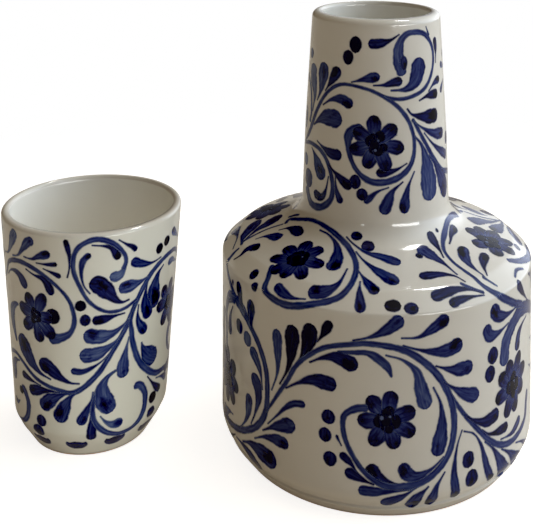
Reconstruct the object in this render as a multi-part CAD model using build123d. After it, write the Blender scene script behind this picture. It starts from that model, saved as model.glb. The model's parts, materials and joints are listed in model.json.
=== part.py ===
from build123d import *
import os

# A painted talavera water set: a round carafe and its matching tumbler.
# Lengths are in millimetres. The origin is the middle of the carafe's foot, on the table, with +Z up.
# The tumbler stands on the same table to the left of the carafe (-X) when seen from the front (-Y).

# ---- carafe: driving sizes ----
CARAFE_HEIGHT = 210.0
BODY_RADIUS = 77.0         # widest point, at the lower shoulder crease
BODY_WALL = 5.0
NECK_WALL = 4.4
NECK_TOP_RADIUS = 32.0     # outside, at the lip
NECK_MIDDLE_RADIUS = 35.5  # the neck swells slightly between lip and shoulder
NECK_FOOT_RADIUS = 37.2    # outside, where the neck would meet the shoulder
SHOULDER_CREASE_RADIUS = 68.7
SHOULDER_CREASE_HEIGHT = 98.0
WALL_TOP = 91.4
WALL_FOOT_RADIUS = 76.7
WALL_FOOT_HEIGHT = 12.0
FOOT_TOP_RADIUS = 73.4
FOOT_RADIUS = 68.4
FOOT_HEIGHT = 6.6
FOOT_RING_WIDTH = 7.0
FOOT_RECESS = 2.5
FLOOR_THICKNESS = 6.0
GROOVE_DEPTH = 0.5         # the thrown line between foot and body
GROOVE_WIDTH = 0.9

# ---- tumbler: driving sizes ----
TUMBLER_HEIGHT = 111.0
TUMBLER_WALL = 3.7
RIM_RADIUS = 44.8
TUMBLER_LOW_RADIUS = 37.7  # outside, where the straight wall ends
TUMBLER_LOW_HEIGHT = 14.0
TUMBLER_FOOT_TOP_RADIUS = 34.9
TUMBLER_FOOT_TOP_HEIGHT = 8.6
TUMBLER_FOOT_RADIUS = 29.2
TUMBLER_FOOT_RING = 4.5
TUMBLER_RECESS = 1.8
TUMBLER_FLOOR = 5.0
TUMBLER_CENTRE = (-143.3, -8.0)


def outline(points, roundings):
    """A closed flat outline in (radius, height), with the named corners rounded off.

    roundings is a list of (corner point, rounding radius)."""
    face = make_face(Polyline(*points, close=True))
    for corner, radius in roundings:
        nearest = face.vertices().sort_by_distance((*corner, 0))[0]
        face = fillet(nearest, radius)
    return face


def spun(face):
    """Turn a (radius, height) outline about the upright axis, as a potter's wheel does."""
    return revolve(Plane.XZ * face, Axis.Z, 360)


def carafe():
    """Foot, straight body, bevelled shoulder and tapering neck, thrown hollow in one piece."""
    neck_foot = (NECK_FOOT_RADIUS, 108.3)
    shoulder_crease = (SHOULDER_CREASE_RADIUS, SHOULDER_CREASE_HEIGHT)
    wall_top = (BODY_RADIUS, WALL_TOP)
    wall_foot = (WALL_FOOT_RADIUS, WALL_FOOT_HEIGHT)
    foot_top = (FOOT_TOP_RADIUS, FOOT_HEIGHT + GROOVE_WIDTH)
    foot_edge = (FOOT_RADIUS, 0)
    lip_outside = (NECK_TOP_RADIUS, CARAFE_HEIGHT)
    lip_inside = (NECK_TOP_RADIUS - NECK_WALL, CARAFE_HEIGHT)

    # The groove is a small notch cut back into the outside just above the foot.
    groove_bottom = (FOOT_TOP_RADIUS - GROOVE_DEPTH, FOOT_HEIGHT)
    foot_shoulder = (FOOT_TOP_RADIUS - 0.1, FOOT_HEIGHT - 0.4)

    # The inside follows the outside, one wall thickness in.
    floor_height = FOOT_RECESS + FLOOR_THICKNESS
    floor_corner = (WALL_FOOT_RADIUS - BODY_WALL, floor_height)
    inner_wall_top = (BODY_RADIUS - BODY_WALL, WALL_TOP - 3.0)
    inner_crease = (SHOULDER_CREASE_RADIUS - 2.5, SHOULDER_CREASE_HEIGHT - 5.0)
    inner_neck_foot = (NECK_FOOT_RADIUS - NECK_WALL, neck_foot[1] - 4.4)

    # The recess under the base leaves a ring to stand on.
    ring_inside = (FOOT_RADIUS - FOOT_RING_WIDTH, 0)
    recess_corner = (FOOT_RADIUS - FOOT_RING_WIDTH - 0.8, FOOT_RECESS)

    points = [
        foot_edge,
        foot_shoulder,
        groove_bottom,
        foot_top,
        wall_foot,
        wall_top,
        shoulder_crease,
        neck_foot,
        (NECK_MIDDLE_RADIUS, 152.0),
        lip_outside,
        lip_inside,
        (NECK_MIDDLE_RADIUS - NECK_WALL, 152.0),
        inner_neck_foot,
        inner_crease,
        inner_wall_top,
        floor_corner,
        (0, floor_height),
        (0, FOOT_RECESS),
        recess_corner,
        ring_inside,
    ]
    roundings = [
        (foot_edge, 0.8),
        (wall_foot, 11.0),
        (wall_top, 2.0),
        (shoulder_crease, 6.0),
        (neck_foot, 13.0),
        ((NECK_MIDDLE_RADIUS, 152.0), 400.0),
        (lip_outside, 3.0),
        (lip_inside, 1.2),
        ((NECK_MIDDLE_RADIUS - NECK_WALL, 152.0), 400.0),
        (inner_neck_foot, 16.0),
        (inner_crease, 4.0),
        (inner_wall_top, 5.0),
        (floor_corner, 14.0),
        (ring_inside, 0.8),
    ]
    return spun(outline(points, roundings))


def tumbler():
    """A straight tapering cup on a small turned foot; upside down it covers the carafe's neck."""
    rim_outside = (RIM_RADIUS, TUMBLER_HEIGHT)
    rim_inside = (RIM_RADIUS - TUMBLER_WALL, TUMBLER_HEIGHT)
    wall_low = (TUMBLER_LOW_RADIUS, TUMBLER_LOW_HEIGHT)
    foot_top = (TUMBLER_FOOT_TOP_RADIUS, TUMBLER_FOOT_TOP_HEIGHT)
    foot_edge = (TUMBLER_FOOT_RADIUS, 0)
    floor_height = TUMBLER_RECESS + TUMBLER_FLOOR
    floor_corner = (TUMBLER_LOW_RADIUS - TUMBLER_WALL, floor_height)
    ring_inside = (TUMBLER_FOOT_RADIUS - TUMBLER_FOOT_RING, 0)
    recess_corner = (ring_inside[0] - 0.6, TUMBLER_RECESS)

    points = [
        foot_edge,
        foot_top,
        wall_low,
        rim_outside,
        rim_inside,
        floor_corner,
        (0, floor_height),
        (0, TUMBLER_RECESS),
        recess_corner,
        ring_inside,
    ]
    roundings = [
        (foot_edge, 0.7),
        (wall_low, 7.0),
        (rim_outside, 1.9),
        (rim_inside, 1.4),
        (floor_corner, 6.0),
        (ring_inside, 0.7),
    ]
    return Pos(*TUMBLER_CENTRE, 0) * spun(outline(points, roundings))


os.makedirs("parts", exist_ok=True)
export_step(carafe(), "parts/carafe.step")
export_step(tumbler(), "parts/tumbler.step")
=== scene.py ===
import json
import math

import bpy
import numpy as np
from mathutils import Matrix, Vector

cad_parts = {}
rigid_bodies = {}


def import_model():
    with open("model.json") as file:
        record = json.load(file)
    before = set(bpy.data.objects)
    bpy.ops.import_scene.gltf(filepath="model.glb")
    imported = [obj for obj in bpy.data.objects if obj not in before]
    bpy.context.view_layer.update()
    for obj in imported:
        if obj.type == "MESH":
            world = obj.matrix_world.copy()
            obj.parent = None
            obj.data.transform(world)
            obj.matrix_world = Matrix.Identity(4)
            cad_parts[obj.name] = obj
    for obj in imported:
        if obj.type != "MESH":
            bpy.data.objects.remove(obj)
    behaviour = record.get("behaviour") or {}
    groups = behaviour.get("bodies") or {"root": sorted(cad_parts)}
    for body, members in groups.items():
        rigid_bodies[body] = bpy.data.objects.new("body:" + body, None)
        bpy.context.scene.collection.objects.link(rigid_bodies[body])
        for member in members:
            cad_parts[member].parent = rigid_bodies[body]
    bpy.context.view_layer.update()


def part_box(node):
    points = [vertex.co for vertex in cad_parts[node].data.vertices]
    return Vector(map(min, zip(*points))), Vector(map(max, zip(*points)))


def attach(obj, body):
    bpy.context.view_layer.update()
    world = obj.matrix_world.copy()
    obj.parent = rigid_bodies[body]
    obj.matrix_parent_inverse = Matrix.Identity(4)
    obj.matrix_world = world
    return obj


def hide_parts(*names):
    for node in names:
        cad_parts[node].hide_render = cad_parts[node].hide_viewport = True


# A talavera carafe and its tumbler: two thrown bodies in white tin glaze, painted in cobalt blue.
# Blender works in metres. Sizes below are in millimetres and angles in degrees, and become metres by MM.
#
# A point on the outside of a pot is named by an angle and a run. The angle turns from the front
# towards the viewer's right, and the run is the length down the outside from the lip.

MM = 0.001
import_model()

# ---------------------------------------------------------------- the thrown shapes

# Each corner is (radius, height, rounding), walked from the inner edge of the lip down the outside.
CARAFE_OUTSIDE = [
    (27.6, 210.0, 0),
    (32.0, 210.0, 3.0),
    (35.5, 152.0, 400.0),
    (37.2, 108.3, 13.0),
    (68.7, 98.0, 6.0),
    (77.0, 91.4, 2.0),
    (76.7, 12.0, 11.0),
    (73.4, 7.5, 0),
    (72.9, 6.6, 0),
    (73.3, 6.2, 0),
    (68.4, 0.0, 0),
]
# The underside and the inside, back up to the lip.
CARAFE_INSIDE = [
    (61.4, 0.0, 0.8),
    (60.6, 2.5, 0),
    (0.0, 2.5, 0),
    (0.0, 8.5, 0),
    (71.7, 8.5, 14.0),
    (72.0, 88.4, 5.0),
    (66.2, 93.0, 4.0),
    (32.8, 103.9, 16.0),
    (31.1, 152.0, 400.0),
    (27.6, 210.0, 0),
]
TUMBLER_OUTSIDE = [
    (41.1, 111.0, 0),
    (44.8, 111.0, 1.9),
    (37.7, 14.0, 7.0),
    (34.9, 8.6, 0),
    (29.2, 0.0, 0),
]
TUMBLER_INSIDE = [
    (24.7, 0.0, 0.7),
    (24.1, 1.8, 0),
    (0.0, 1.8, 0),
    (0.0, 6.8, 0),
    (34.0, 6.8, 6.0),
    (41.1, 111.0, 0),
]


def unit(vector):
    return vector / np.linalg.norm(vector)


def rounded(corners, tolerance, longest):
    """The outline through the corners as close-set (radius, height) points, each corner rounded off."""
    spots = [np.array(corner[:2], float) for corner in corners]
    line = [spots[0]]
    for before, corner, after, size in zip(spots, spots[1:], spots[2:], [c[2] for c in corners[1:]]):
        if not size:
            line.append(corner)
            continue
        back, on = unit(before - corner), unit(after - corner)
        half = math.acos(np.clip(back @ on, -1, 1)) / 2
        centre = corner + unit(back + on) * size / math.sin(half)
        start = corner + back * size / math.tan(half) - centre
        end = corner + on * size / math.tan(half) - centre
        first = math.atan2(start[1], start[0])
        sweep = (math.atan2(end[1], end[0]) - first + math.pi) % math.tau - math.pi
        chord = min(longest, math.sqrt(8 * size * tolerance))
        count = max(3, math.ceil(abs(sweep) * size / chord))
        for angle in first + sweep * np.linspace(0, 1, count + 1):
            line.append(centre + size * np.array((math.cos(angle), math.sin(angle))))
    line.append(spots[-1])
    filled = [line[0]]
    for a, b in zip(line, line[1:]):
        parts = max(1, math.ceil(np.linalg.norm(b - a) / longest))
        filled += [a + (b - a) * i / parts for i in range(1, parts + 1)]
    return np.array(filled)


class Pot:
    """A form turned on the wheel, standing where its CAD node stands."""

    def __init__(self, node, outside, inside):
        low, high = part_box(node)
        self.node = node
        self.centre = np.array(((low.x + high.x) / 2, (low.y + high.y) / 2, low.z))
        self.height = (high.z - low.z) / MM
        self.outside, self.inside = outside, inside
        line = rounded(outside, 0.0005, 0.5)
        steps = np.linalg.norm(np.diff(line, axis=0), axis=1)
        self.run = np.concatenate(([0], np.cumsum(steps)))
        self.radius, self.level = line.T
        slope = np.gradient(line, self.run, axis=0)
        self.slope_out, self.slope_up = slope.T

    def wobble(self, angle, level):
        """How far, in mm, the hand-thrown wall leaves a true circle."""
        turn = np.radians(angle)
        share = level / self.height
        # A slight oval and a slighter three-sided swell, both twisting as they rise.
        return 0.22 * np.sin(2 * turn + 1.3 + 2 * share) + 0.10 * np.sin(3 * turn + 4.0 - 5 * share)

    def place(self, angle, run, lift=0.0):
        """Points in metres on the outside, raised by lift mm along the surface normal."""
        level = np.interp(run, self.run, self.level)
        out = np.interp(run, self.run, self.radius) + self.wobble(angle, level)
        normal = self.normal(angle, run)
        turn = np.radians(angle)
        spots = np.stack((out * np.sin(turn), -out * np.cos(turn), level), -1)
        return self.centre + MM * (spots + lift * normal)

    def normal(self, angle, run):
        out = -np.interp(run, self.run, self.slope_up)
        up = np.interp(run, self.run, self.slope_out)
        size = np.hypot(out, up)
        turn = np.radians(angle)
        return np.stack((out * np.sin(turn), -out * np.cos(turn), up), -1) / size[..., None]

    def lathe(self, name, segments=256):
        """The whole closed wall of the pot, outside and inside, as one mesh."""
        line = rounded(self.outside + self.inside, 0.004, 2.5)
        on_axis = line[:, 0] < 1e-6
        angles = np.arange(segments) * 360 / segments
        spots, rows = [], []
        for (radius, level), middle in zip(line, on_axis):
            first = len(spots)
            if middle:
                spots.append((0, 0, level))
                rows.append([first] * segments)
                continue
            out = radius + self.wobble(angles, level) * min(1, radius / 20)
            turn = np.radians(angles)
            spots += list(zip(out * np.sin(turn), -out * np.cos(turn), [level] * segments))
            rows.append(list(range(first, first + segments)))
        # The outline is a closed loop, so its last row is its first.
        spots = spots[:-segments]
        rows[-1] = rows[0]
        faces = []
        for upper, lower in zip(rows, rows[1:]):
            for i in range(segments):
                j = (i + 1) % segments
                face = dict.fromkeys((upper[i], upper[j], lower[j], lower[i]))
                if len(face) > 2:
                    faces.append(tuple(face))
        mesh = bpy.data.meshes.new(name)
        mesh.from_pydata([tuple(p) for p in self.centre + MM * np.array(spots)], [], faces)
        mesh.validate()
        mesh.polygons.foreach_set("use_smooth", [True] * len(mesh.polygons))
        mesh.update()
        thing = bpy.data.objects.new(name, mesh)
        bpy.context.scene.collection.objects.link(thing)
        return thing


# ---------------------------------------------------------------- brush strokes

PALE, SOFT, MID, DARK, BLACK = 0.08, 0.26, 0.42, 0.62, 0.92
SPREAD = 0.50        # the wet colour spreads this much wider than the brush's track, in mm
MARGIN = 0.45        # the strip reaches this far past the paint's edge, in mm, for its soft fringe
LOWEST_LIFT = 0.03   # the first layer of paint above the glaze, in mm
LAYER_LIFT = 0.016   # each stroke painted over another lies this much higher


def through(points):
    """A smooth line through the points, as a chain of Catmull-Rom spans of fifty steps each."""
    points = np.array(points, float)
    ends = np.vstack((2 * points[0] - points[1], points, 2 * points[-1] - points[-2]))
    share = np.arange(0, 1, 0.02)[:, None]
    spans = []
    for a, b, c, d in zip(ends, ends[1:], ends[2:], ends[3:]):
        bend = 2 * a - 5 * b + 4 * c - d
        twist = -a + 3 * b - 3 * c + d
        spans.append(0.5 * (2 * b + (c - a) * share + bend * share**2 + twist * share**3))
    return np.vstack(spans + [points[-1:]])


class Painting:
    """The strokes on one zone of a pot, gathered into a single thin mesh that hugs the glaze."""

    def __init__(self, pot):
        self.pot = pot
        self.spots, self.normals, self.faces = [], [], []
        self.values = {name: [] for name in ("edge", "across", "along", "ink", "pool", "seed")}
        self.count = 0
        self.laid = []

    def flat(self, line):
        """The line's (angle, run) points as mm on the unrolled wall."""
        radius = np.interp(line[:, 1], self.pot.run, self.pot.radius)
        return np.radians(line[:, 0]) * radius, line[:, 1]

    def layer(self, x, y, half):
        """The lowest layer that no earlier stroke holds where this one passes."""
        taken = set()
        for other_x, other_y, reach, level in self.laid:
            gap = np.hypot(x[::4, None] - other_x[None, ::4], y[::4, None] - other_y[None, ::4])
            if gap.min() < half.max() + reach + 1:
                taken.add(level)
        level = next(i for i in range(99) if i not in taken)
        self.laid.append((x, y, half.max(), level))
        return level

    def rows(self, line):
        """Where the rows of a stroke's mesh lie, with its half width and heading at each row.

        Gives the way travelled, the angle, the run, the pot's radius, the half width and the heading."""
        x, y = self.flat(line)
        length = np.concatenate(([0], np.cumsum(np.hypot(np.diff(x), np.diff(y)))))
        # The rows lie closer together towards both ends, where the outline turns.
        share = np.linspace(0, 1, max(8, int(length[-1] / 0.6)))
        at = length[-1] * (share - 0.11 * np.sin(math.tau * share))
        angle, run, width = (np.interp(at, length, column) for column in line.T)
        # A hand never presses a brush quite evenly.
        width *= 1 + 0.05 * np.sin(at * 0.9 + self.count) + 0.03 * np.sin(at * 2.3 + 2 * self.count)
        half = (width + SPREAD) / 2
        radius = np.interp(run, self.pot.run, self.pot.radius)
        ahead = np.stack((np.gradient(np.radians(angle)) * radius, np.gradient(run)))
        ahead /= np.hypot(*ahead) + 1e-9
        # One more row past each end carries the fringe round the tip.
        at, angle, run, radius = (np.concatenate((v[:1], v, v[-1:])) for v in (at, angle, run, radius))
        half = np.concatenate(([0], half, [0]))
        ahead = np.concatenate((ahead[:, :1], ahead, ahead[:, -1:]), axis=1)
        for row, step in ((0, -MARGIN), (-1, MARGIN)):
            angle[row] += np.degrees(ahead[0, row] * step / radius[row])
            run[row] += ahead[1, row] * step
        return at, angle, run, radius, half, ahead

    def stroke(self, line, ink, puddle=0.0, pool_at=0.78, fade=0.0, spill=0.62):
        """One brush stroke along (angle, run, width) points, paler towards its start by fade.

        Its puddle lies at the share pool_at of its length and covers the share spill of its width."""
        at, angle, run, radius, half, ahead = self.rows(line)
        columns = 2 * max(2, math.ceil((half.max() + MARGIN) / 0.55)) + 1
        across = np.linspace(-1, 1, columns)[None, :] * (half + MARGIN)[:, None]
        edge = half[:, None] - np.abs(across)
        edge[[0, -1]] = -MARGIN
        edge = np.minimum(edge, np.minimum(at, at[-1] - at)[:, None] + 0.5)
        grid_angle = angle[:, None] + np.degrees(-ahead[1][:, None] * across / radius[:, None])
        grid_run = run[:, None] + ahead[0][:, None] * across
        flat_x, flat_y = self.flat(np.stack((angle, run), 1))
        level = self.layer(flat_x, flat_y, half)
        lift = LOWEST_LIFT + LAYER_LIFT * level
        first = sum(len(s) for s in self.spots)
        self.spots.append(self.pot.place(grid_angle, grid_run, lift).reshape(-1, 3))
        self.normals.append(self.pot.normal(grid_angle, grid_run).reshape(-1, 3))
        # Wet colour gathers in a puddle near the head, a little to one side.
        side = (0.3 * math.sin(2.7 * self.count)) * half.max()
        size = spill * half.max() + 0.3
        far = np.hypot((at[:, None] - pool_at * at[-1]) / 1.6, across - side) / size
        pool = puddle * np.exp(-far**2)
        strength = ink - fade * np.clip(1 - 1.3 * at / at[-1], 0, 1)
        shape = grid_angle.shape
        for name, value in (
            ("edge", edge),
            ("across", across),
            ("along", np.broadcast_to(at[:, None], shape)),
            ("ink", np.broadcast_to(strength[:, None], shape)),
            ("pool", pool),
            ("seed", np.full(shape, self.count * 0.618)),
        ):
            self.values[name].append(value.ravel())
        tall, wide = shape
        corner = first + np.arange(tall - 1)[:, None] * wide + np.arange(wide - 1)[None, :]
        quads = np.stack((corner, corner + 1, corner + wide + 1, corner + wide), -1)
        self.faces.append(quads.reshape(-1, 4))
        self.count += 1

    def stem(self, ink, *points):
        """A long line through (angle, run, width) points, drawn in one go with a lighter load of colour."""
        line = through(points)
        self.stroke(self.tipped(line), ink - 0.12)

    def tipped(self, line):
        """The line with both ends rounded off over a little less than half its local width."""
        x, y = self.flat(line)
        length = np.concatenate(([0], np.cumsum(np.hypot(np.diff(x), np.diff(y)))))
        out = line.copy()
        for far, width in ((length, line[0, 2]), (length[-1] - length, line[-1, 2])):
            reach = max(0.3, 0.45 * width)
            close = np.clip(far / reach, 0, 1)
            out[:, 2] *= np.sqrt(np.maximum(0, 1 - (1 - close) ** 2))
        return out

    def leaf(self, width, ink, *points):
        """A pressed stroke: it starts as a hair at the tail, swells, and ends in a round head."""
        line = through([(*point, 0) for point in points])
        x, y = self.flat(line)
        length = np.concatenate(([0], np.cumsum(np.hypot(np.diff(x), np.diff(y)))))
        whole = length[-1]
        head = min(0.6 * width, 0.4 * whole)
        # A short leaf is full for most of its length; a long one keeps its swelling for the end.
        fullest = np.clip(0.5 + 0.08 * whole / width, 0.55, 0.85)
        slimness = np.clip(0.4 + 0.3 * whole / width, 1.0, 1.7)
        swell = np.clip(length / (fullest * whole), 0, 1)
        body = 0.05 + 0.95 * (swell * swell * (3 - 2 * swell)) ** slimness
        close = np.clip((whole - length) / head, 0, 1)
        line[:, 2] = width * body * np.sqrt(np.maximum(0, 1 - (1 - close) ** 2))
        puddle = 0.55 + 0.3 * math.sin(5.1 * self.count)
        self.stroke(line, ink, puddle=puddle, pool_at=1 - 0.62 * width / max(whole, width))

    def dot(self, angle, run, wide, tall, ink=DARK):
        """A round touch of the brush, longer up and down than across, or the other way about."""
        radius = np.interp(run, self.pot.run, self.pot.radius)
        along = np.linspace(-1, 1, 25)
        if tall >= wide:
            line = np.stack((np.full(25, float(angle)), run + along * tall / 2), 1)
            size = wide
        else:
            line = np.stack((angle + np.degrees(along * wide / 2 / radius), np.full(25, float(run))), 1)
            size = tall
        widths = size * np.sqrt(np.maximum(0, 1 - along**2))
        self.stroke(np.column_stack((line, widths)), ink, puddle=0.9 * ink, pool_at=0.62, spill=0.5)

    def flower(self, angle, run, petals, width=6.4, heart=1.0):
        """Petals pressed outwards from a dark heart. Each petal is (direction, distance of its middle)."""
        start = 2.0
        radius = np.interp(run, self.pot.run, self.pot.radius)

        def spot(turn, far):
            turn = math.radians(turn)
            return angle + math.degrees(far * math.cos(turn) / radius), run - far * math.sin(turn)

        for direction, middle in petals:
            reach = middle + 3.9
            bend = spot(direction + 2, (start + reach) / 2)
            ends = (spot(direction, start), bend, spot(direction, reach))
            line = through([(*end, 0) for end in ends])
            far = np.linspace(0, 1, len(line))
            # An egg, widest past its middle.
            from_widest = np.where(far < 0.6, (0.6 - far) / 0.66, (far - 0.6) / 0.4)
            line[:, 2] = width * np.sqrt(1 - from_widest**2)
            self.stroke(line, DARK + 0.06, puddle=0.45, pool_at=0.8, fade=0.55, spill=0.8)
        # The heart is a ragged ring of dabs round a dark middle, with a few gaps left open.
        for i in range(8):
            turn = 20 + i * 45 + 14 * math.sin(3.1 * i + angle)
            size = heart * (4.1 + 0.9 * math.sin(2.3 * i + angle))
            far = heart * (3.3 + 0.7 * math.sin(4.1 * i + run))
            self.dot(*spot(turn, far), size, 1.15 * size, BLACK)
        self.dot(*spot(200, 0.8), 4.6 * heart, 5.0 * heart, BLACK)
        for turn, far, size in ((160, 2.6, 1.1), (55, 1.9, 0.6), (265, 3.0, 0.8)):
            self.dot(*spot(turn, heart * far), heart * size, 1.3 * heart * size, PALE - 0.4)

    def build(self, name, material):
        """The strokes as one object."""
        mesh = bpy.data.meshes.new(name)
        spots = np.vstack(self.spots)
        mesh.from_pydata(spots.tolist(), [], np.vstack(self.faces).tolist())
        mesh.polygons.foreach_set("use_smooth", [True] * len(mesh.polygons))
        for key, parts in self.values.items():
            layer = mesh.attributes.new(key, "FLOAT", "POINT")
            layer.data.foreach_set("value", np.concatenate(parts).astype(np.float32))
        mesh.normals_split_custom_set_from_vertices(np.vstack(self.normals).tolist())
        mesh.materials.append(material)
        mesh.update()
        thing = bpy.data.objects.new(name, mesh)
        bpy.context.scene.collection.objects.link(thing)
        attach(thing, self.pot.node)
        return thing


class Turned:
    """The same strokes painted again, turned by some degrees round the pot."""

    def __init__(self, painting, turn):
        self.painting, self.turn = painting, turn

    def moved(self, point):
        return (point[0] + self.turn, *point[1:])

    def stem(self, ink, *points):
        self.painting.stem(ink, *(self.moved(p) for p in points))

    def leaf(self, width, ink, *points):
        self.painting.leaf(width, ink, *(self.moved(p) for p in points))

    def dot(self, angle, *more):
        self.painting.dot(angle + self.turn, *more)

    def flower(self, angle, *more):
        self.painting.flower(angle + self.turn, *more)


# ---------------------------------------------------------------- the painted pattern

# Stems are (angle, run, width). Leaves are a width, an ink and (angle, run) points from tail to head.


def paint_neck(brush):
    # the scroll from the left node over the top, curling down into the upper right
    brush.stem(
        MID, (-78, 69, 0.6), (-65, 61, 2), (-54.5, 49.3, 1.6), (-44, 40.4, 1.3), (-32, 35.1, 1.2),
        (-20, 34.3, 1.0), (-4, 36.1, 1.1), (10, 39.6, 1.3), (26, 40, 1.3), (44, 36.4, 1.4),
        (55, 27.9, 1.4), (56, 18.6, 1.5), (46, 11.1, 2), (31, 9.5, 2.2), (22.5, 12, 2.8),
        (19, 17.5, 4.5), (19.5, 23, 5.5), (22, 29.5, 4.2),
    )
    # the ring round the flower
    brush.stem(
        MID, (6, 39, 0.8), (18, 44, 1.5), (27.5, 52, 1.5), (31.2, 62, 1.4), (27.5, 71.4, 2),
        (15, 77.3, 2.6), (-3, 78.4, 2.6), (-16, 72.1, 1.6), (-21.3, 62, 2.8), (-19.5, 56.5, 4.6),
        (-10, 53, 3),
    )
    # the spiral low on the left
    brush.stem(
        MID, (-78, 69, 0.8), (-62, 66.6, 1.4), (-48, 67.8, 1.7), (-39, 73, 1.8), (-34, 82, 1.9),
        (-35.5, 89.8, 2.4), (-46, 94.9, 2.9), (-59, 94.9, 3.2), (-67.5, 88.5, 4.5),
    )
    brush.stem(MID, (30, 50, 1.2), (40, 60.4, 1.5), (52, 71, 1.8), (65, 78.5, 2), (84, 82, 2.2))
    brush.stem(MID, (-79, 34.5, 1.6), (-68, 40.5, 1.6), (-64, 51, 1.6), (-66, 57, 1.4))
    for leaf in (
        (4.2, MID, (-20, 32.9), (-10, 31.2), (3.2, 29.3)),
        (4.4, DARK, (20, 10), (12, 12.6), (2, 14.2), (-6.5, 14.3)),
        (7.0, PALE, (-61.5, 51), (-59.5, 42), (-64, 34), (-64, 27.9)),
        (6.8, SOFT, (-55, 44.8), (-50.5, 38.5), (-47.5, 25.7)),
        (5.0, DARK, (-45, 39), (-38.5, 33.5), (-31.5, 26.8)),
        (4.8, MID, (-47, 46), (-38, 42.6), (-28, 41.5), (-18.5, 44)),
        (8.2, MID, (-58, 57), (-50, 53.5), (-40, 51.3), (-27, 51.5)),
        (5.0, DARK, (-52.5, 64), (-44, 66.3), (-35, 68), (-26.5, 67.5)),
        (3.8, DARK, (-38, 79), (-40.5, 86), (-45, 90), (-54.5, 89.3)),
        (7.0, SOFT, (-60, 68.5), (-54, 72), (-48.5, 77), (-43.5, 81.3)),
        (4.4, DARK, (-38, 73.6), (-28, 78.2), (-18, 82.3)),
        (3.0, MID, (-31.5, 78), (-30.5, 84), (-26, 90.2)),
        (2.6, MID, (10, 81), (2, 82.8), (-4, 86), (-8, 88.3)),
        (5.3, MID, (21, 78.8), (13, 82.8), (9, 88), (5.5, 93.3)),
        (4.8, MID, (30.8, 74.6), (25.5, 81), (22.5, 88), (22, 93.6)),
        (6.6, DARK, (25.5, 45), (30, 48), (40, 49.7), (50, 50.5), (59.3, 50.5)),
        (5.0, MID, (29.5, 50.4), (37, 54), (48, 57.8), (58, 59.8), (68.5, 60.6)),
        (4.2, MID, (41, 57.5), (49, 62.8), (58, 67), (68, 70.5), (76.5, 73)),
        (10.5, SOFT, (31.5, 58.2), (38, 63), (42, 70), (45, 80), (46.5, 90)),
        (9.0, MID, (45.5, 68.7), (53, 73.5), (60, 79.5), (67, 86), (70, 92)),
        (3.2, MID, (48, 38.5), (54, 36), (60, 34.6), (66.5, 34.2)),
        (4.2, DARK, (37, 42), (45, 40.6), (53, 40.4), (61, 40.7)),
        (3.2, DARK, (60.5, 26), (61.5, 20), (60.5, 13.6)),
        (1.1, MID, (48, 7.5), (49.7, 9.8), (51.5, 12.3)),
        (2.8, PALE, (86, 30), (78, 29), (70, 27.6)),
        (2.6, PALE, (80, 35.5), (73, 38), (67.5, 41)),
        (6.0, SOFT, (90, 66), (82, 65), (74, 64.6)),
        (3.0, PALE, (92, 23.8), (85, 23.5), (79, 23)),
        (8.0, MID, (12, 36.1), (24, 35.9), (31, 34), (36, 29.5), (39.5, 21.7)),
        (3.8, DARK, (-2, 33.8), (8, 33.4), (15, 32.3), (21.8, 31.8)),
        (3.8, DARK, (24.5, 70.4), (16, 72.9), (8, 74), (0.5, 74.3)),
    ):
        brush.leaf(*leaf)
    for dot in (
        (-17.2, 15.1, 5.5, 7.9, BLACK), (-23.5, 21.4, 4.9, 7, BLACK), (-64.2, 84.1, 8.4, 9.0, MID),
        (-71, 23.6, 5, 5, PALE), (-71.5, 76, 6, 6, PALE), (-76, 55.7, 4, 11, PALE),
        (-15.2, 79.1, 5, 6.8, DARK), (-9.8, 84.6, 4.8, 5.7, DARK), (23.5, 23.5, 3.2, 6.5, DARK),
    ):
        brush.dot(*dot)
    brush.flower(
        0.3, 60.8, ((95, 9.4), (149, 8.5), (197, 9.3), (247, 8.5), (294, 9.8), (348, 9.9), (40, 9)), 6.4
    )


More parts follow.
